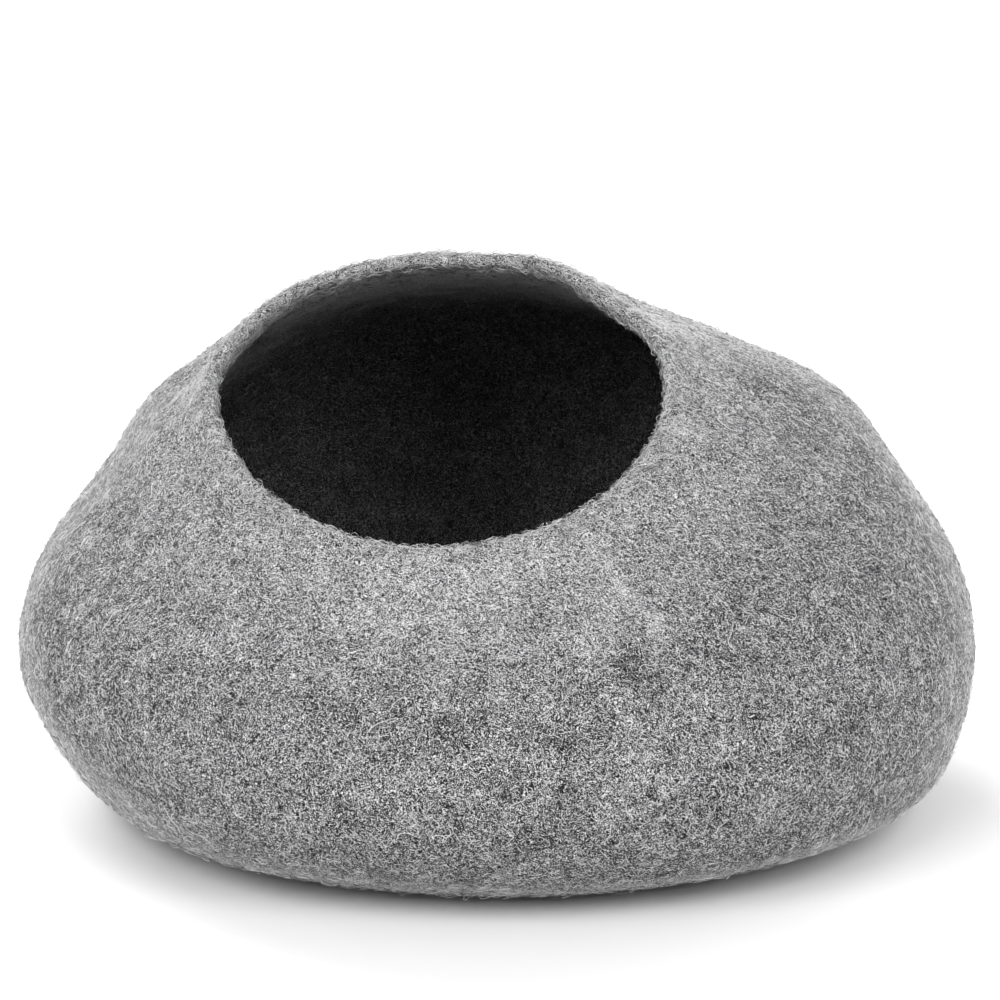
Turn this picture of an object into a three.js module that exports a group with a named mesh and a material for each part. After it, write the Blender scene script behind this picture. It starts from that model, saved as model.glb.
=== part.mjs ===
// Felt cat cave: one seamless hollow shell of thick wool felt, felted in the round over a form.
// It stands on a flat base, bulges out low down, narrows over a soft shoulder and ends in a
// round mouth, whose plane leans towards the front so that a cat steps in over the low side.
//
// Millimetres, +Z up. The origin is on the floor under the middle of the shell, +X is the
// cave's right as one faces the mouth, and the mouth opens upwards and towards -Y.
import * as THREE from "three";

const WALL = 8; // thickness of the felt
const COLUMNS = 60; // points round each row
const ROWS_BETWEEN_RINGS = 3; // rows from one ring of the table to the next
const LIP_ROWS = 4; // rows round the soft edge of the mouth
const LUMP_FADE = 30; // lumps fade out over this height above the floor, so that the base stays flat

// The outer face as a stack of rings, from the middle of the base to the mouth.
// z: height of the ring's middle; halfWidth, halfDepth: its radii along X and Y;
// midX, midY: its middle; riseBack, riseRight: its climb in mm per mm towards +Y and +X;
// sideLift: how far its left and right stand above its front and back.
const RINGS = [
  { z: 0, halfWidth: 0, halfDepth: 0, midX: 9, midY: 0, riseBack: 0, riseRight: 0, sideLift: 0 },
  { z: 0, halfWidth: 157, halfDepth: 147, midX: 6, midY: 0, riseBack: 0, riseRight: 0, sideLift: 0 },
  { z: 7, halfWidth: 199, halfDepth: 182, midX: 6, midY: 0, riseBack: 0, riseRight: 0, sideLift: 0 },
  { z: 21, halfWidth: 225, halfDepth: 209, midX: 10, midY: 0, riseBack: 0, riseRight: 0, sideLift: 0 },
  { z: 46, halfWidth: 239, halfDepth: 230, midX: 7, midY: 1, riseBack: 0.01, riseRight: 0, sideLift: 0 },
  { z: 80, halfWidth: 250, halfDepth: 240, midX: 3, midY: 4, riseBack: 0.05, riseRight: 0, sideLift: 0 },
  { z: 109, halfWidth: 247, halfDepth: 238, midX: 3, midY: 4, riseBack: 0.09, riseRight: 0, sideLift: 3 },
  { z: 137, halfWidth: 235, halfDepth: 228, midX: 4, midY: 3, riseBack: 0.14, riseRight: 0, sideLift: 4 },
  { z: 163, halfWidth: 215, halfDepth: 212, midX: 6, midY: 0, riseBack: 0.19, riseRight: 0, sideLift: 2 },
  { z: 184, halfWidth: 194, halfDepth: 192, midX: 6, midY: -6, riseBack: 0.25, riseRight: 0, sideLift: 2 },
  { z: 200, halfWidth: 172, halfDepth: 168, midX: -3, midY: -14, riseBack: 0.30, riseRight: 0, sideLift: 2 },
  { z: 211, halfWidth: 148, halfDepth: 144, midX: -13, midY: -22, riseBack: 0.35, riseRight: 0.01, sideLift: 2 },
  { z: 219, halfWidth: 130, halfDepth: 125, midX: -21, midY: -32, riseBack: 0.41, riseRight: 0.02, sideLift: 4 },
  { z: 224, halfWidth: 120, halfDepth: 114, midX: -26, midY: -38, riseBack: 0.46, riseRight: 0.02, sideLift: 5 },
];

// Soft dents and swells left by the hand felting. ring and angle place each one's middle: ring
// counts along the table above, and angle is in degrees from +X towards +Y, so that the front
// is at 270. reach is how far it spreads, and push how far it moves the felt outwards.
const LUMPS = [
  { ring: 4, angle: 238, reach: 55, push: 4 },
  { ring: 5, angle: 100, reach: 70, push: -4 },
  { ring: 6, angle: 318, reach: 60, push: 3 },
  { ring: 7, angle: 178, reach: 40, push: -3 },
  { ring: 7.6, angle: 8, reach: 30, push: -5 },
  { ring: 7.6, angle: 168, reach: 22, push: -5 },
  { ring: 8.5, angle: 292, reach: 45, push: -3 },
  { ring: 8.6, angle: 110, reach: 50, push: 3 },
  { ring: 9, angle: 20, reach: 22, push: 3 },
  { ring: 9.1, angle: 165, reach: 24, push: 6 },
  { ring: 9.8, angle: 42, reach: 30, push: -6 },
  { ring: 10.4, angle: 59, reach: 32, push: -9 },
  { ring: 11.3, angle: 159, reach: 28, push: -5 },
  { ring: 12.4, angle: 38, reach: 30, push: -4 },
  { ring: 13, angle: 62, reach: 26, push: 3 },
];

// Catmull-Rom through four values, with b at t = 0 and c at t = 1.
function smooth(a, b, c, d, t) {
  const slopeB = (c - a) / 2;
  const slopeC = (d - b) / 2;
  const t2 = t * t;
  const t3 = t2 * t;
  return (2 * t3 - 3 * t2 + 1) * b + (t3 - 2 * t2 + t) * slopeB
    + (3 * t2 - 2 * t3) * c + (t3 - t2) * slopeC;
}

// The ring at any place along the table, with every column eased between its rows.
function ringAt(place) {
  const last = RINGS.length - 1;
  const i = Math.min(Math.floor(place), last - 1);
  const row = (k) => RINGS[Math.min(Math.max(k, 0), last)];
  const ring = {};
  for (const column of Object.keys(RINGS[0])) {
    ring[column] = smooth(row(i - 1)[column], row(i)[column], row(i + 1)[column], row(i + 2)[column],
      place - i);
  }
  return ring;
}

function pointOn(ring, angle) {
  const x = ring.halfWidth * Math.cos(angle);
  const y = ring.halfDepth * Math.sin(angle);
  const z = ring.z + ring.riseRight * x + ring.riseBack * y + ring.sideLift * Math.cos(angle) ** 2;
  return new THREE.Vector3(ring.midX + x, ring.midY + y, Math.max(z, 0));
}

// A list of rows becomes one grid of triangles that closes round. A pole shuts the first row,
// and a second one the last row.
function skin(rows, firstPole, lastPole) {
  const points = [firstPole, ...rows.flat()];
  const faces = [];
  const at = (row, column) => 1 + row * COLUMNS + (column % COLUMNS);
  for (let column = 0; column < COLUMNS; column++) {
    faces.push(0, at(0, column + 1), at(0, column));
    for (let row = 0; row + 1 < rows.length; row++) {
      const corners = [at(row, column), at(row, column + 1), at(row + 1, column + 1), at(row + 1, column)];
      faces.push(corners[0], corners[1], corners[2], corners[0], corners[2], corners[3]);
    }
  }
  if (lastPole) {
    points.push(lastPole);
    for (let column = 0; column < COLUMNS; column++) {
      faces.push(points.length - 1, at(rows.length - 1, column), at(rows.length - 1, column + 1));
    }
  }
  return new THREE.BufferGeometry().setFromPoints(points).setIndex(faces);
}

function outerRows() {
  const rows = [];
  const count = (RINGS.length - 1) * ROWS_BETWEEN_RINGS;
  for (let row = 1; row <= count; row++) {
    const ring = ringAt(row / ROWS_BETWEEN_RINGS);
    rows.push(Array.from({ length: COLUMNS }, (_, i) => pointOn(ring, (2 * Math.PI * i) / COLUMNS)));
  }
  return rows;
}

function normalsOf(rows, pole) {
  const face = skin(rows, pole);
  face.computeVertexNormals();
  const all = face.getAttribute("normal");
  const normalAt = (i, j) => new THREE.Vector3().fromBufferAttribute(all, 1 + i * COLUMNS + j);
  return rows.map((row, i) => row.map((_, j) => normalAt(i, j)));
}

function pushLumps(rows, normals) {
  const middles = LUMPS.map((lump) => pointOn(ringAt(lump.ring), THREE.MathUtils.degToRad(lump.angle)));
  return rows.map((row, i) => row.map((point, j) => {
    let push = 0;
    LUMPS.forEach((lump, k) => {
      push += lump.push * Math.exp(-point.distanceToSquared(middles[k]) / lump.reach ** 2);
    });
    push *= THREE.MathUtils.smoothstep(point.z, 0, LUMP_FADE);
    return point.clone().addScaledVector(normals[i][j], push);
  }));
}

// The mouth's edge: half a turn of the felt's own thickness, from the outer face to the inner one.
function lipRows(outer, normals) {
  const edge = outer.at(-1);
  const before = outer.at(-2);
  const radius = WALL / 2;
  const rows = [];
  for (let k = 1; k < LIP_ROWS; k++) {
    const turn = (Math.PI * k) / LIP_ROWS;
    rows.push(edge.map((point, j) => {
      const normal = normals.at(-1)[j];
      const onward = point.clone().sub(before[j]).projectOnPlane(normal).normalize();
      return point.clone()
        .addScaledVector(onward, radius * Math.sin(turn))
        .addScaledVector(normal, -radius * (1 - Math.cos(turn)));
    }));
  }
  return rows;
}

function shellGeometry() {
  const pole = pointOn(RINGS[0], 0);
  const plain = outerRows();
  const outer = pushLumps(plain, normalsOf(plain, pole));
  const normals = normalsOf(outer, pole);
  const inner = outer.map((row, i) => row.map((point, j) => point.clone().addScaledVector(normals[i][j], -WALL)));
  const rows = [...outer, ...lipRows(outer, normals), ...inner.reverse()];
  const geometry = skin(rows, pole, pole.clone().setZ(WALL));
  geometry.computeBoundingBox();
  const middle = geometry.boundingBox.getCenter(new THREE.Vector3());
  return geometry.translate(-middle.x, -middle.y, 0);
}

const felt = new THREE.MeshStandardMaterial({ color: 0x8c8c8d, roughness: 0.95, metalness: 0 });

const shell = new THREE.Mesh(shellGeometry(), felt);
shell.name = "felt_shell";

const cave = new THREE.Group();
cave.add(shell);

export default cave;
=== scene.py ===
"""The looks of a felt cat cave: its thick wool shell, the loose fibres on it, and a plain studio.

Metres, +Z up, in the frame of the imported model. The shell keeps the form of its CAD solid, and is
only finer and a little uneven. The fibres are real, closed hairs that follow its surface.
"""
import math

import bmesh
import bpy
import numpy as np
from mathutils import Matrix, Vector, noise
from mathutils.bvhtree import BVHTree
from mathutils.kdtree import KDTree


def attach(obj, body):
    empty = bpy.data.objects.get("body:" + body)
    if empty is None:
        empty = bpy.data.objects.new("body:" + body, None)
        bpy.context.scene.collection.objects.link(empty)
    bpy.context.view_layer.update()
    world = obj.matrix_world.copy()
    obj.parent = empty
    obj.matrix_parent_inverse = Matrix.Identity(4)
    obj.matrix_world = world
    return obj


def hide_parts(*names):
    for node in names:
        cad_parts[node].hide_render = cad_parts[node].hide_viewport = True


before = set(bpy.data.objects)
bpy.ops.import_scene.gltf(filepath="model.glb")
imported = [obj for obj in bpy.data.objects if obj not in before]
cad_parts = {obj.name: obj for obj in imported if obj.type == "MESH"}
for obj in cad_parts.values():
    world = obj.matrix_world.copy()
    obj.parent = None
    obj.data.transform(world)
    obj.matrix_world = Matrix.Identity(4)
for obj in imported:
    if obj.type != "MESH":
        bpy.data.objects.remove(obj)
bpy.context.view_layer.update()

MM = 0.001

# Camera: where the photographer stood, and the point it looks at.
CAMERA_ELEVATION = math.radians(15)
CAMERA_DISTANCE = 2.0
CAMERA_STAND = Vector((0.0016, 0, 0.110))
CAMERA_AIM = Vector((0.0016, 0, 0.159))
CAMERA_LENS = 137.2
CAMERA_SENSOR = 36

# Studio: wide soft lights from behind, from the left and from the right, a low one that picks
# out the right edge, and an even white surround. Each row is the direction the light comes from,
# its strength and its width as an angle.
LIGHTS = {
    "behind": ((-0.41, 0.71, 0.57), 2.1, math.radians(35)),
    "left": ((-0.46, -0.65, 0.61), 1.6, math.radians(35)),
    "right": ((0.46, -0.65, 0.61), 1.5, math.radians(35)),
    "edge": ((0.60, 0.76, 0.25), 1.3, math.radians(35)),
}
SURROUND_STRENGTH = 0.58
FLOOR_SIDE = 24.0
FLOOR_DROP = 0.2 * MM
FLOOR_WHITE = 0.92

# The CAD's mesh: corners this near each other are one, two triangles are joined where their quad
# is folded and skewed by less than WIDEST_ANGLE, and lower corners than UNDERSIDE are the base's.
SAME_CORNER = 0.02 * MM
WIDEST_ANGLE = math.radians(60)
UNDERSIDE = 0.1 * MM

# Shell: its own unevenness, as (size of the lumps, height) in metres. It turns from outwards to
# inwards over LIP_ROWS of the CAD's rows on each side of the mouth's crest, and fades out below
# CALM_HEIGHT, so that the base stays flat.
SHELL_SUBDIVISIONS = 2
LUMPS = [(55 * MM, 1.4 * MM), (19 * MM, 0.7 * MM), (7 * MM, 0.3 * MM)]
LIP_ROWS = 2
CALM_HEIGHT = 25 * MM
# Corners nearer than this to the crest's row lie on the mouth's edge.
EDGE_ROWS = 0.3

# Wool: the darkest and palest colours of the felt and of the fibres, and a near-black painted
# shade for the cave's inside. That painted shade starts, and is reached in full, at the fade's
# distances past the mouth's crest, and the share that follows is how much of it the wool takes.
FELT_DARK = (0.014, 0.014, 0.015, 1)
FELT_PALE = (0.78, 0.78, 0.785, 1)
FELT_INSIDE_PAINTED_SHADE = (0.01, 0.01, 0.01, 1)
FIBRE_DARK = (0.026, 0.026, 0.027, 1)
FIBRE_PALE = (0.84, 0.84, 0.845, 1)
INSIDE_PAINTED_SHADE_FADE = (-1.5 * MM, 8 * MM)
INSIDE_PAINTED_SHADE_SHARE = 0.65

# Felt pattern: the sizes of its spots, the size and reach of the bends in its fibres, and the
# sizes of its short fibres and of its curls, these as (size, width of the line, offset).
# STROKE_SHARE is higher for fewer short fibres, STROKE_OFFSET moves those of each turn apart, and
# STROKE_EDGE is how softly they end. Then how much each counts, and the sums that give the darkest
# and palest wool.
BLOTCH_SIZE = 15 * MM
FLECK_SIZE = 3.2 * MM
GRAIN_SIZE = 0.5 * MM
BEND_SIZE = 5 * MM
BEND_REACH = 4 * MM
STROKE_LENGTH = 5 * MM
STROKE_WIDTH = 0.42 * MM
STROKE_SHARE = 0.55
STROKE_OFFSET = 0.37
CURLS = [(1.1 * MM, 0.09, (0.3, 0.1, 0.7)), (1.8 * MM, 0.06, (0.9, 0.5, 0.2))]
STROKE_EDGE = 0.13
PALE_STROKE, DARK_STROKE, CURL = 0.34, 0.3, 0.4
TONE_SHARES = {"relief": 1.1, "grain": 1.8, "flecks": 0.34, "blotches": 0.5, "patches_and_painted_light": 0.9}
FELT_TONES = (0.25, 1.09)
# How those fibres are turned, so that some lie along any part of the shell.
PALE_TURNS = [(0.2, 0.1, 0.3), (0.9, 0.5, 1.2), (1.9, -0.4, 2.2), (0.4, 1.1, 0.7)]
DARK_TURNS = [(2.6, -1.2, 1.7), (1.3, 0.2, 2.8)]
BUMP_STRENGTH = 0.7
BUMP_HEIGHT = 0.5 * MM
# Sheen: how far from face-on it starts and is full, and the tones between which it rises from
# SHEEN_LEAST to 1.
SHEEN_ONSET = (0.56, 0.92)
SHEEN_TONES = (0.2, 0.85)
SHEEN_LEAST = 0.6

# Tufts of paler (+) and darker (-) wool that were felted in: x, y, z and reach in mm, and tone. The
# first four, with the widest reach, are painted light: paler wool on the top of the front slope
# and on the back of the lip, where these face the light from above.
TUFTS_AND_PAINTED_LIGHT = [
    # painted light: broad paler wool where the front slope and the back of the lip face upwards
    (-70, -175, 152, 38, 0.06), (-22, -184, 150, 38, 0.06), (30, -176, 154, 38, 0.07),
    (2, 64, 272, 30, 0.08),
    # tufts of paler and darker wool
    (129, -205, 59, 7, 0.22), (41, -197, 136, 8, 0.20), (70, -228, 84, 10, 0.19),
    (89, -78, 212, 9, 0.15), (95, -216, 93, 7, 0.17), (-137, -168, 130, 7, 0.17),
    (-129, -208, 72, 8, 0.14), (65, -219, 104, 8, 0.14), (8, -221, 115, 8, 0.13),
    (-211, -57, 148, 9, 0.14), (-169, -76, 181, 9, 0.12), (-25, -161, 167, 10, 0.12),
    (4, -162, 166, 9, 0.12), (193, -66, 168, 9, 0.12), (-139, -76, 211, 8, 0.10),
    (24, -235, 50, 8, -0.17), (22, -183, 150, 10, -0.16), (-21, -229, 101, 9, -0.16),
    (63, -200, 127, 10, -0.16), (109, -214, 64, 8, -0.15), (-131, -109, 187, 8, -0.14),
    (30, -229, 100, 8, -0.14), (169, -177, 87, 9, -0.14), (-84, -209, 112, 8, -0.13),
    (-219, -80, 128, 10, -0.13), (-41, -219, 113, 8, -0.13), (138, 1, 220, 14, -0.14),
    (119, -164, 145, 8, -0.12), (185, -112, 148, 8, -0.12), (-73, -229, 64, 8, -0.12),
    (154, -106, 170, 7, -0.12),
]
# A paler streak, as points in mm, with its reach in mm and tone.
STREAK = [
    (54, -156, 164), (57, -160, 161), (61, -168, 154),
    (68, -174, 149), (75, -179, 144), (80, -184, 139),
]
STREAK_REACH = 3.2
STREAK_TONE = 0.3
# Painted light: the wool round the mouth is made paler, as if lit from above. How far from its
# edge, and tone.
RIM_PAINTED_LIGHT_REACH = 65 * MM
RIM_PAINTED_LIGHT = 0.2

# Behind the mouth the fibres lie mostly along its edge, and elsewhere in every direction.
# COMBED_FROM is how far behind its middle that starts, and where it is in full.
COMBED_REACH = 42 * MM
COMBED_FROM = (-20 * MM, 60 * MM)
COMBED_SHARE = 0.8

# Fibres, one row a piece: how many, their length, radius, how high they stand and how far they
# turn in radians, each as (least, most), in how many steps each is drawn, and the share of pale
# ones. The last row's lie within MOUTH_FUZZ_REACH of the mouth's edge.
SHORT = dict(
    count=14500, length=(2 * MM, 6.5 * MM), radius=(0.12 * MM, 0.2 * MM),
    lift=(0.2 * MM, 1.0 * MM), curl=(0.3, 2.6), steps=3, pale=0.62,
)
COVER_FIBRES = {
    "short_fibres_0": SHORT,
    "short_fibres_1": SHORT,
    "short_fibres_2": SHORT,
    "long_fibres": dict(
        count=3600, length=(6 * MM, 14 * MM), radius=(0.11 * MM, 0.18 * MM),
        lift=(0.3 * MM, 1.3 * MM), curl=(0.4, 4.5), steps=5, pale=0.85,
    ),
    "loose_curls": dict(
        count=1500, length=(7 * MM, 21 * MM), radius=(0.12 * MM, 0.2 * MM),
        lift=(0.8 * MM, 2.4 * MM), curl=(0.5, 6.5), steps=8, pale=1.0,
    ),
}
MOUTH_FUZZ = dict(
    count=5500, length=(4 * MM, 11 * MM), radius=(0.08 * MM, 0.14 * MM),
    lift=(0.3 * MM, 2.8 * MM), curl=(0.3, 3.0), steps=4, pale=0.7,
)
MOUTH_FUZZ_REACH = 9 * MM
# No fibre is planted lower than this. Inside, the wool is bare but for some near the mouth.
FIBRE_FLOOR = 1.5 * MM
INSIDE_NEAR = 40 * MM
INSIDE_NEAR_COVER = 0.7
INSIDE_FAR_COVER = 0.12
# Lightness of pale and of dark fibres, from FIBRE_DARK to FIBRE_PALE.
PALE_SHADES = (0.6, 1)
DARK_SHADES = (0, 0.2)
# Every fibre also wavers: how many waves it has, as (least, most), and their turn in radians.
WAVES = (0.7, 1.8)
WAVE_TURN = 0.5
# Share of the fibres that stand up at one end, and the power of the rise to it. The others stand
# up in the middle.
LOOSE_SHARE = 0.35
LOOSE_RISE = 1.5
# Sides of each fibre, how soon it thickens from its points, and the least height of its corners.
SIDES = 3
POINTEDNESS = 0.35
FIBRE_CLEARANCE = 0.05 * MM

SEED = 71


def unit(vectors):
    return vectors / np.linalg.norm(vectors, axis=1)[:, None]


def smooth_step(x, low, high):
    t = np.clip((x - low) / (high - low), 0, 1)
    return t * t * (3 - 2 * t)


# Studio ------------------------------------------------------------------------------------


def add_camera():
    data = bpy.data.cameras.new("camera")
    data.lens = CAMERA_LENS
    data.sensor_width = CAMERA_SENSOR
    camera = bpy.data.objects.new("camera", data)
    bpy.context.scene.collection.objects.link(camera)
    back = Vector((0, -math.cos(CAMERA_ELEVATION), math.sin(CAMERA_ELEVATION)))
    camera.location = CAMERA_STAND + back * CAMERA_DISTANCE
    camera.rotation_euler = (CAMERA_AIM - camera.location).to_track_quat("-Z", "Y").to_euler()
    bpy.context.scene.camera = camera


def add_studio():
    scene = bpy.context.scene
    scene.view_settings.view_transform = "Standard"
    for name, (direction, strength, angle) in LIGHTS.items():
        data = bpy.data.lights.new(name, "SUN")
        data.energy = strength
        data.angle = angle
        light = bpy.data.objects.new(name, data)
        light.rotation_euler = Vector(direction).to_track_quat("Z", "Y").to_euler()
        scene.collection.objects.link(light)

    world = bpy.data.worlds.new("surround")
    world.use_nodes = True
    world.node_tree.nodes["Background"].inputs["Color"].default_value = (1, 1, 1, 1)
    world.node_tree.nodes["Background"].inputs["Strength"].default_value = SURROUND_STRENGTH
    scene.world = world

    half = FLOOR_SIDE / 2
    corners = [(-half, -half), (half, -half), (half, half), (-half, half)]
    mesh = bpy.data.meshes.new("floor")
    mesh.from_pydata([(x, y, -FLOOR_DROP) for x, y in corners], [], [(0, 1, 2, 3)])
    floor = bpy.data.objects.new("floor", mesh)
    scene.collection.objects.link(floor)
    paper = bpy.data.materials.new("white_paper")
    paper.use_nodes = True
    surface = paper.node_tree.nodes["Principled BSDF"]
    surface.inputs["Base Color"].default_value = (FLOOR_WHITE, FLOOR_WHITE, FLOOR_WHITE, 1)
    surface.inputs["Roughness"].default_value = 0.8
    mesh.materials.append(paper)


# Materials ---------------------------------------------------------------------------------


class Nodes:
    """Short names for building one material's node tree."""

    def __init__(self, name):
        self.material = bpy.data.materials.new(name)
        self.material.use_nodes = True
        self.tree = self.material.node_tree
        self.surface = self.tree.nodes["Principled BSDF"]

    def add(self, kind, **values):
        node = self.tree.nodes.new(kind)
        for key, value in values.items():
            setattr(node, key, value)
        return node

    def put(self, value, socket):
        """value is a number, a colour or another node's socket."""
        if isinstance(value, bpy.types.NodeSocket):
            self.tree.links.new(value, socket)
        else:
            socket.default_value = value

    def place(self):
        return self.add("ShaderNodeTexCoord").outputs["Object"]

    def math(self, operation, a, b=0.0):
        node = self.add("ShaderNodeMath", operation=operation)
        self.put(a, node.inputs[0])
        self.put(b, node.inputs[1])
        return node.outputs[0]

    def noise(self, place, size, detail=2.0, roughness=0.5):
        """Soft noise from 0 to 1, whose spots are about size across."""
        node = self.add("ShaderNodeTexNoise")
        self.put(place, node.inputs["Vector"])
        node.inputs["Scale"].default_value = 1 / size
        node.inputs["Detail"].default_value = detail
        node.inputs["Roughness"].default_value = roughness
        return node.outputs["Fac"]

    def ramp(self, value, low, high, to_low=0.0, to_high=1.0):
        node = self.add("ShaderNodeMapRange", interpolation_type="SMOOTHSTEP")
        self.put(value, node.inputs["Value"])
        ends = {"From Min": low, "From Max": high, "To Min": to_low, "To Max": to_high}
        for name, number in ends.items():
            node.inputs[name].default_value = number
        return node.outputs["Result"]

    def shifted(self, place, offset):
        node = self.add("ShaderNodeVectorMath", operation="ADD")
        self.put(place, node.inputs[0])
        node.inputs[1].default_value = offset
        return node.outputs["Vector"]

    def mix(self, factor, a, b):
        node = self.add("ShaderNodeMix", data_type="RGBA")
        self.put(factor, node.inputs["Factor"])
        self.put(a, node.inputs["A"])
        self.put(b, node.inputs["B"])
        return node.outputs["Result"]

    def curls(self, place, size, width, offset):
        """Thin closed curly lines: where a noise passes its middle value."""
        soft = self.noise(self.shifted(place, offset), size, detail=0.0)
        from_middle = self.math("ABSOLUTE", self.math("SUBTRACT", soft, 0.5))
        return self.ramp(from_middle, 0.0, width, 1.0, 0.0)

    def strokes(self, place, length, width, turn, share):
        """Short straight fibres that lie along one direction, given as the turn of the X axis."""
        node = self.add("ShaderNodeMapping", vector_type="TEXTURE")
        self.put(place, node.inputs["Vector"])
        node.inputs["Location"].default_value = [STROKE_OFFSET * a for a in turn]
        node.inputs["Rotation"].default_value = turn
        node.inputs["Scale"].default_value = (length, width, width)
        soft = self.noise(node.outputs["Vector"], 1.0, detail=0.0)
        return self.ramp(soft, share, share + STROKE_EDGE)

    def sum(self, *terms):
        """Adds up (value, factor) pairs."""
        total = None
        for value, factor in terms:
            part = self.math("MULTIPLY", value, factor)
            total = part if total is None else self.math("ADD", total, part)
        return total


def bent_place(nodes, place):
    """The place shifted a little this way and that, so that what is drawn there is curly."""
    bend = nodes.add("ShaderNodeTexNoise")
    nodes.put(place, bend.inputs["Vector"])
    bend.inputs["Scale"].default_value = 1 / BEND_SIZE
    bend.inputs["Detail"].default_value = 0.0
    bent = nodes.add("ShaderNodeVectorMath", operation="MULTIPLY_ADD")
    nodes.put(bend.outputs["Color"], bent.inputs[0])
    bent.inputs[1].default_value = (BEND_REACH, BEND_REACH, BEND_REACH)
    nodes.put(place, bent.inputs[2])
    return bent.outputs["Vector"]


def felt_material():
    nodes = Nodes("heather_felt")
    place = nodes.place()
    bent = bent_place(nodes, place)

    def spots(size, **kind):
        return nodes.math("SUBTRACT", nodes.noise(place, size, **kind), 0.5)

    blotches = spots(BLOTCH_SIZE, detail=2.0, roughness=0.6)
    flecks = spots(FLECK_SIZE, detail=1.0, roughness=0.6)
    grain = spots(GRAIN_SIZE, detail=0.0)
    pale_strokes, dark_strokes = (
        [nodes.strokes(bent, STROKE_LENGTH, STROKE_WIDTH, turn, STROKE_SHARE) for turn in turns]
        for turns in (PALE_TURNS, DARK_TURNS)
    )
    loops = [nodes.curls(bent, *curl) for curl in CURLS]
    pale = nodes.sum(
        *[(part, PALE_STROKE) for part in pale_strokes], *[(part, CURL) for part in loops]
    )
    dark = nodes.sum(*[(part, DARK_STROKE) for part in dark_strokes])
    relief = nodes.math("SUBTRACT", pale, dark)
    # Painted light: this attribute carries the paler wool painted round the mouth and on the broad
    # rows of the tufts' table, together with the tufts' own tone.
    patches_and_painted_light = nodes.add("ShaderNodeAttribute", attribute_name="patches_and_painted_light").outputs["Fac"]
    parts = {
        "relief": relief, "grain": grain, "flecks": flecks, "blotches": blotches, "patches_and_painted_light": patches_and_painted_light,
    }
    tone = nodes.sum(*[(part, TONE_SHARES[name]) for name, part in parts.items()])
    inside = nodes.add("ShaderNodeAttribute", attribute_name="inside").outputs["Fac"]
    colour = nodes.mix(nodes.ramp(tone, *FELT_TONES), FELT_DARK, FELT_PALE)
    # Painted shade: well inside the mouth the felt's colour is mixed towards near-black, standing
    # in for the shade of the cave's own walls.
    colour = nodes.mix(nodes.math("MULTIPLY", inside, INSIDE_PAINTED_SHADE_SHARE), colour, FELT_INSIDE_PAINTED_SHADE)
    nodes.put(colour, nodes.surface.inputs["Base Color"])
    nodes.surface.inputs["Roughness"].default_value = 0.95
    nodes.surface.inputs["Specular IOR Level"].default_value = 0.15

    # The fuzz glows where it is seen edge-on, and most where the wool is pale.
    grazing = nodes.add("ShaderNodeLayerWeight").outputs["Facing"]
    paleness = nodes.ramp(tone, *SHEEN_TONES, SHEEN_LEAST, 1.0)
    sheen = nodes.math("MULTIPLY", nodes.ramp(grazing, *SHEEN_ONSET), paleness)
    nodes.put(sheen, nodes.surface.inputs["Sheen Weight"])
    nodes.surface.inputs["Sheen Roughness"].default_value = 0.4

    bump = nodes.add("ShaderNodeBump")
    bump.inputs["Strength"].default_value = BUMP_STRENGTH
    bump.inputs["Distance"].default_value = BUMP_HEIGHT
    nodes.put(relief, bump.inputs["Height"])
    nodes.put(bump.outputs["Normal"], nodes.surface.inputs["Normal"])
    return nodes.material


def fibre_material():
    nodes = Nodes("wool_fibre")
    shade = nodes.add("ShaderNodeAttribute", attribute_name="shade").outputs["Fac"]
    colour = nodes.mix(shade, FIBRE_DARK, FIBRE_PALE)
    nodes.put(colour, nodes.surface.inputs["Base Color"])
    nodes.surface.inputs["Roughness"].default_value = 0.6
    nodes.surface.inputs["Specular IOR Level"].default_value = 0.3
    nodes.surface.inputs["Sheen Weight"].default_value = 0.4
    nodes.surface.inputs["Sheen Roughness"].default_value = 0.3
    return nodes.material


# Shell -------------------------------------------------------------------------------------


def quads_of_cad(node):
    """The CAD node's mesh with shared corners and its triangles joined in pairs. Its attribute
    row counts the rows of corners from the middle of the base, round the mouth, to the inside."""
    bm = bmesh.new()
    bm.from_mesh(node.data)
    bmesh.ops.remove_doubles(bm, verts=bm.verts, dist=SAME_CORNER)
    bmesh.ops.join_triangles(
        bm, faces=bm.faces, angle_face_threshold=WIDEST_ANGLE, angle_shape_threshold=WIDEST_ANGLE
    )
    row = bm.verts.layers.float.new("row")
    under = [v for v in bm.verts if v.co.z < UNDERSIDE]
    start = min(under, key=lambda v: v.co.xy.length)
    seen = {start}
    edge_of_seen = [start]
    count = 0
    while edge_of_seen:
        for v in edge_of_seen:
            v[row] = count
        beyond = {e.other_vert(v) for v in edge_of_seen for e in v.link_edges} - seen
        seen |= beyond
        edge_of_seen = sorted(beyond, key=lambda v: v.index)
        count += 1
    mesh = bpy.data.meshes.new("felt_shell_quads")
    bm.to_mesh(mesh)
    bm.free()
    return mesh, count - 1


def read(mesh):
    """The mesh's corners, their normals and their rows, as arrays."""
    total = len(mesh.vertices)
    points, normals, rows = np.empty(total * 3), np.empty(total * 3), np.empty(total)
    mesh.vertices.foreach_get("co", points)
    mesh.vertices.foreach_get("normal", normals)
    mesh.attributes["row"].data.foreach_get("value", rows)
    return points.reshape(-1, 3), normals.reshape(-1, 3), rows


def uneven(points):
    """Height of the hand-felted surface over the smooth one, in metres."""
    height = np.zeros(len(points))
    for size, amount in LUMPS:
        height += amount * np.array([noise.noise(Vector(p / size)) for p in points])
    return height


def mouth_edge(points, rows, crest):
    return points[np.abs(rows - crest) < EDGE_ROWS]


def distances(points, edge):
    """From each point to the nearest point of edge."""
    tree = KDTree(len(edge))
    for i, p in enumerate(edge):
        tree.insert(p, i)
    tree.balance()
    return np.array([tree.find(p)[2] for p in points])


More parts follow.
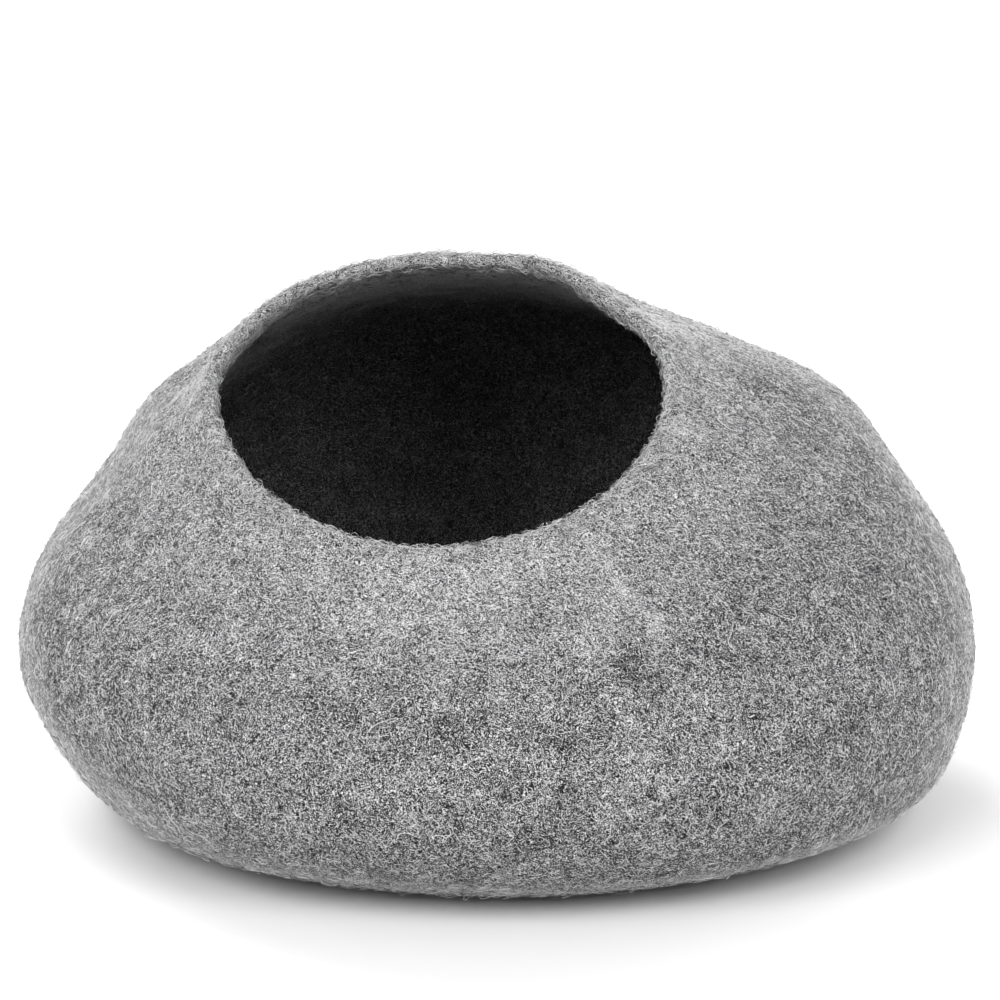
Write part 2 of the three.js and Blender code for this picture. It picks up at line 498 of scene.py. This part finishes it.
def patch_and_painted_light_tones(points, from_mouth):
    """How much paler or darker the wool is at each point, painted light included."""
    # Painted light: paler wool near the mouth's edge.
    tone = RIM_PAINTED_LIGHT * np.exp(-(from_mouth / RIM_PAINTED_LIGHT_REACH) ** 2)
    for *middle, reach, amount in TUFTS_AND_PAINTED_LIGHT:
        squared = ((points / MM - middle) ** 2).sum(axis=1)
        tone += amount * np.exp(-squared / reach ** 2)
    nearest = np.full(len(points), np.inf)
    for a, b in zip(np.array(STREAK[:-1], float), np.array(STREAK[1:], float)):
        from_a = points / MM - a
        along = np.clip((from_a @ (b - a)) / ((b - a) @ (b - a)), 0, 1)
        squared = ((from_a - along[:, None] * (b - a)) ** 2).sum(axis=1)
        nearest = np.minimum(nearest, squared)
    return tone + STREAK_TONE * np.exp(-nearest / STREAK_REACH ** 2)


def paint(mesh, points, rows, crest):
    """Attributes for the material: one for the wool's tone with its painted light, and inside,
    which is 1 well within the mouth and sets the painted shade there.
    """
    from_mouth = distances(points, mouth_edge(points, rows, crest))
    inside = smooth_step(from_mouth * np.sign(rows - crest), *INSIDE_PAINTED_SHADE_FADE)
    for name, values in (("patches_and_painted_light", patch_and_painted_light_tones(points, from_mouth)), ("inside", inside)):
        mesh.attributes.new(name, "FLOAT", "POINT").data.foreach_set("value", values)


def add_shell(material):
    quads, last_row = quads_of_cad(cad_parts["felt_shell"])
    cage = bpy.data.objects.new("cage", quads)
    bpy.context.scene.collection.objects.link(cage)
    finer = cage.modifiers.new("finer", "SUBSURF")
    finer.levels = SHELL_SUBDIVISIONS
    depsgraph = bpy.context.evaluated_depsgraph_get()
    mesh = bpy.data.meshes.new_from_object(cage.evaluated_get(depsgraph))
    bpy.data.objects.remove(cage)

    points, normals, rows = read(mesh)
    crest = last_row / 2
    outwards = np.cos(math.pi * np.clip((rows - crest + LIP_ROWS) / (2 * LIP_ROWS), 0, 1))
    calm = smooth_step(points[:, 2], 0, CALM_HEIGHT)
    points += normals * (outwards * calm * uneven(points))[:, None]
    points[:, 2] = np.maximum(points[:, 2], 0)
    mesh.vertices.foreach_set("co", points.ravel())
    mesh.update()
    paint(mesh, points, rows, crest)
    mesh.shade_smooth()
    mesh.materials.clear()
    mesh.materials.append(material)
    shell = bpy.data.objects.new("felt_cave", mesh)
    bpy.context.scene.collection.objects.link(shell)
    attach(shell, "root")
    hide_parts("felt_shell")
    return shell, crest


# Fibres ------------------------------------------------------------------------------------


class Surface:
    """The finished shell, as something to plant fibres on."""

    def __init__(self, mesh, crest):
        mesh.calc_loop_triangles()
        self.points, self.normals, self.rows = read(mesh)
        triangles = np.empty(len(mesh.loop_triangles) * 3, dtype=int)
        mesh.loop_triangles.foreach_get("vertices", triangles)
        self.triangles = triangles.reshape(-1, 3)
        corners = self.points[self.triangles]
        first, second = corners[:, 1] - corners[:, 0], corners[:, 2] - corners[:, 0]
        self.areas = np.linalg.norm(np.cross(first, second), axis=1) / 2
        self.middles = corners.mean(axis=1)
        self.side = crest - self.rows[self.triangles].mean(axis=1)
        self.inside = np.empty(len(self.points))
        mesh.attributes["inside"].data.foreach_get("value", self.inside)
        edge = mouth_edge(self.points, self.rows, crest)
        self.from_mouth = distances(self.middles, edge)
        self.mouth_middle = edge.mean(axis=0)
        self.mouth_axis = np.linalg.svd(edge - self.mouth_middle)[2][2]
        self.bvh = BVHTree.FromPolygons(self.points.tolist(), self.triangles.tolist())

    def scatter(self, count, weights, rng):
        """count random points by area and weight: where they are, their normals, how far inside
        they are, and the direction that each one's fibre sets out in."""
        share = self.areas * weights
        chosen = rng.choice(len(share), size=count, p=share / share.sum())
        mix = rng.dirichlet((1, 1, 1), size=count)[:, :, None]
        corners = self.triangles[chosen]
        normals = unit((self.normals[corners] * mix).sum(axis=1))
        inside = (self.inside[corners] * mix[..., 0]).sum(axis=1)
        points = (self.points[corners] * mix).sum(axis=1)
        combed = COMBED_SHARE * np.exp(-(self.from_mouth[chosen] / COMBED_REACH) ** 2)[:, None]
        from_middle = points - self.mouth_middle
        combed *= smooth_step(from_middle[:, 1:2], *COMBED_FROM)
        around = np.cross(self.mouth_axis, from_middle)
        ahead = combed * unit(around) + (1 - combed) * unit(rng.normal(size=normals.shape))
        ahead = unit(ahead - normals * (normals * ahead).sum(axis=1)[:, None])
        return points, normals, inside, ahead

    def onto(self, points):
        """The nearest points of the surface, and the normals there."""
        found = [self.bvh.find_nearest(p)[:2] for p in points.reshape(-1, 3).tolist()]
        near = np.array([f[0] for f in found]).reshape(points.shape)
        normals = np.array([f[1] for f in found]).reshape(points.shape)
        return near, normals


def fibre_paths(surface, roots, normals, ahead, lengths, curls, lifts, steps, rng):
    """Curly paths over the surface, (fibre, step, xyz), with the surface's normals along them.
    curls is how far each one turns, in radians, and lifts how high its middle or tip stands."""
    count = len(roots)
    aside = np.cross(normals, ahead)
    u = np.linspace(0, 1, steps + 1)
    start = rng.uniform(0, 2 * math.pi, (count, 1))
    waves = 2 * math.pi * u * rng.uniform(*WAVES, (count, 1))
    turn = curls[:, None] * (u - 0.5) + WAVE_TURN * np.sin(waves + start)
    stride = lengths[:, None] / steps
    along = np.cumsum(np.cos(turn) * stride, axis=1)
    beside = np.cumsum(np.sin(turn) * stride, axis=1)
    flat = roots[:, None] + ahead[:, None] * along[..., None] + aside[:, None] * beside[..., None]
    near, up = surface.onto(flat)
    loose = rng.random((count, 1)) < LOOSE_SHARE
    height = np.where(loose, u ** LOOSE_RISE, np.sin(math.pi * u)) * lifts[:, None]
    return near + up * height[..., None], up


def fibre_mesh(name, paths, ups, radii, shades):
    """One closed, pointed tube along each path, joined in one mesh."""
    count, stations, _ = paths.shape
    rings = stations - 2
    tiny = 1e-12
    forward = np.gradient(paths, axis=1)
    side = np.cross(forward, ups)
    side /= np.maximum(np.linalg.norm(side, axis=2), tiny)[..., None]
    top = np.cross(side, forward)
    top /= np.maximum(np.linalg.norm(top, axis=2), tiny)[..., None]
    taper = np.sin(math.pi * np.linspace(0, 1, stations)) ** POINTEDNESS
    r = (radii[:, None] * taper)[..., None]
    corners = []
    for k in range(SIDES):
        a = 2 * math.pi * k / SIDES
        corners.append((paths + r * (math.cos(a) * top + math.sin(a) * side))[:, 1:-1])
    ring_points = np.stack(corners, axis=2).reshape(count, rings * SIDES, 3)
    points = np.concatenate([paths[:, :1], ring_points, paths[:, -1:]], axis=1)
    points[..., 2] = np.maximum(points[..., 2], FIBRE_CLEARANCE)

    faces = []
    last = 1 + rings * SIDES
    for k in range(SIDES):
        n = (k + 1) % SIDES
        faces.append((0, 1 + k, 1 + n))
        faces.append((last, last - SIDES + n, last - SIDES + k))
        for ring in range(rings - 1):
            a = 1 + ring * SIDES
            b = a + SIDES
            faces.append((a + k, b + k, b + n))
            faces.append((a + k, b + n, a + n))
    per_fibre = points.shape[1]
    every = (np.array(faces)[None] + (np.arange(count) * per_fibre)[:, None, None]).reshape(-1, 3)

    mesh = bpy.data.meshes.new(name)
    mesh.vertices.add(count * per_fibre)
    mesh.vertices.foreach_set("co", points.ravel())
    mesh.loops.add(every.size)
    mesh.loops.foreach_set("vertex_index", every.ravel())
    mesh.polygons.add(len(every))
    mesh.polygons.foreach_set("loop_start", np.arange(0, every.size, 3))
    mesh.update(calc_edges=True)
    mesh.validate()
    mesh.shade_smooth()
    shade = mesh.attributes.new("shade", "FLOAT", "POINT")
    shade.data.foreach_set("value", np.repeat(shades, per_fibre))
    return mesh


def add_fibres(
    name, surface, weights, material, rng, count, length, radius, lift, curl, steps, pale
):
    """A piece of fibres, as one row of the tables at the top gives it."""

    def draw(ends):
        return rng.uniform(*ends, count)

    roots, normals, inside, ahead = surface.scatter(count, weights, rng)
    curls = draw(curl) * rng.choice((-1, 1), count)
    lengths, lifts = draw(length), draw(lift)
    paths, ups = fibre_paths(surface, roots, normals, ahead, lengths, curls, lifts, steps, rng)
    shades = np.where(rng.random(count) < pale, draw(PALE_SHADES), draw(DARK_SHADES))
    # Painted shade: fibres well inside the mouth are darkened in the same way as the felt.
    shades *= 1 - INSIDE_PAINTED_SHADE_SHARE * inside
    mesh = fibre_mesh(name, paths, ups, draw(radius), shades)
    mesh.materials.append(material)
    piece = bpy.data.objects.new(name, mesh)
    bpy.context.scene.collection.objects.link(piece)
    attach(piece, "root")


def add_all_fibres(surface, material):
    rng = np.random.default_rng(SEED)
    near = np.where(surface.from_mouth < INSIDE_NEAR, INSIDE_NEAR_COVER, INSIDE_FAR_COVER)
    off_floor = surface.middles[:, 2] > FIBRE_FLOOR
    cover = np.where(surface.side > 0, 1.0, near) * off_floor
    for name, kind in COVER_FIBRES.items():
        add_fibres(name, surface, cover, material, rng, **kind)
    edge = (surface.from_mouth < MOUTH_FUZZ_REACH).astype(float)
    add_fibres("mouth_fuzz", surface, edge, material, rng, **MOUTH_FUZZ)


add_camera()
add_studio()
cave, crest_row = add_shell(felt_material())
add_all_fibres(Surface(cave.data, crest_row), fibre_material())
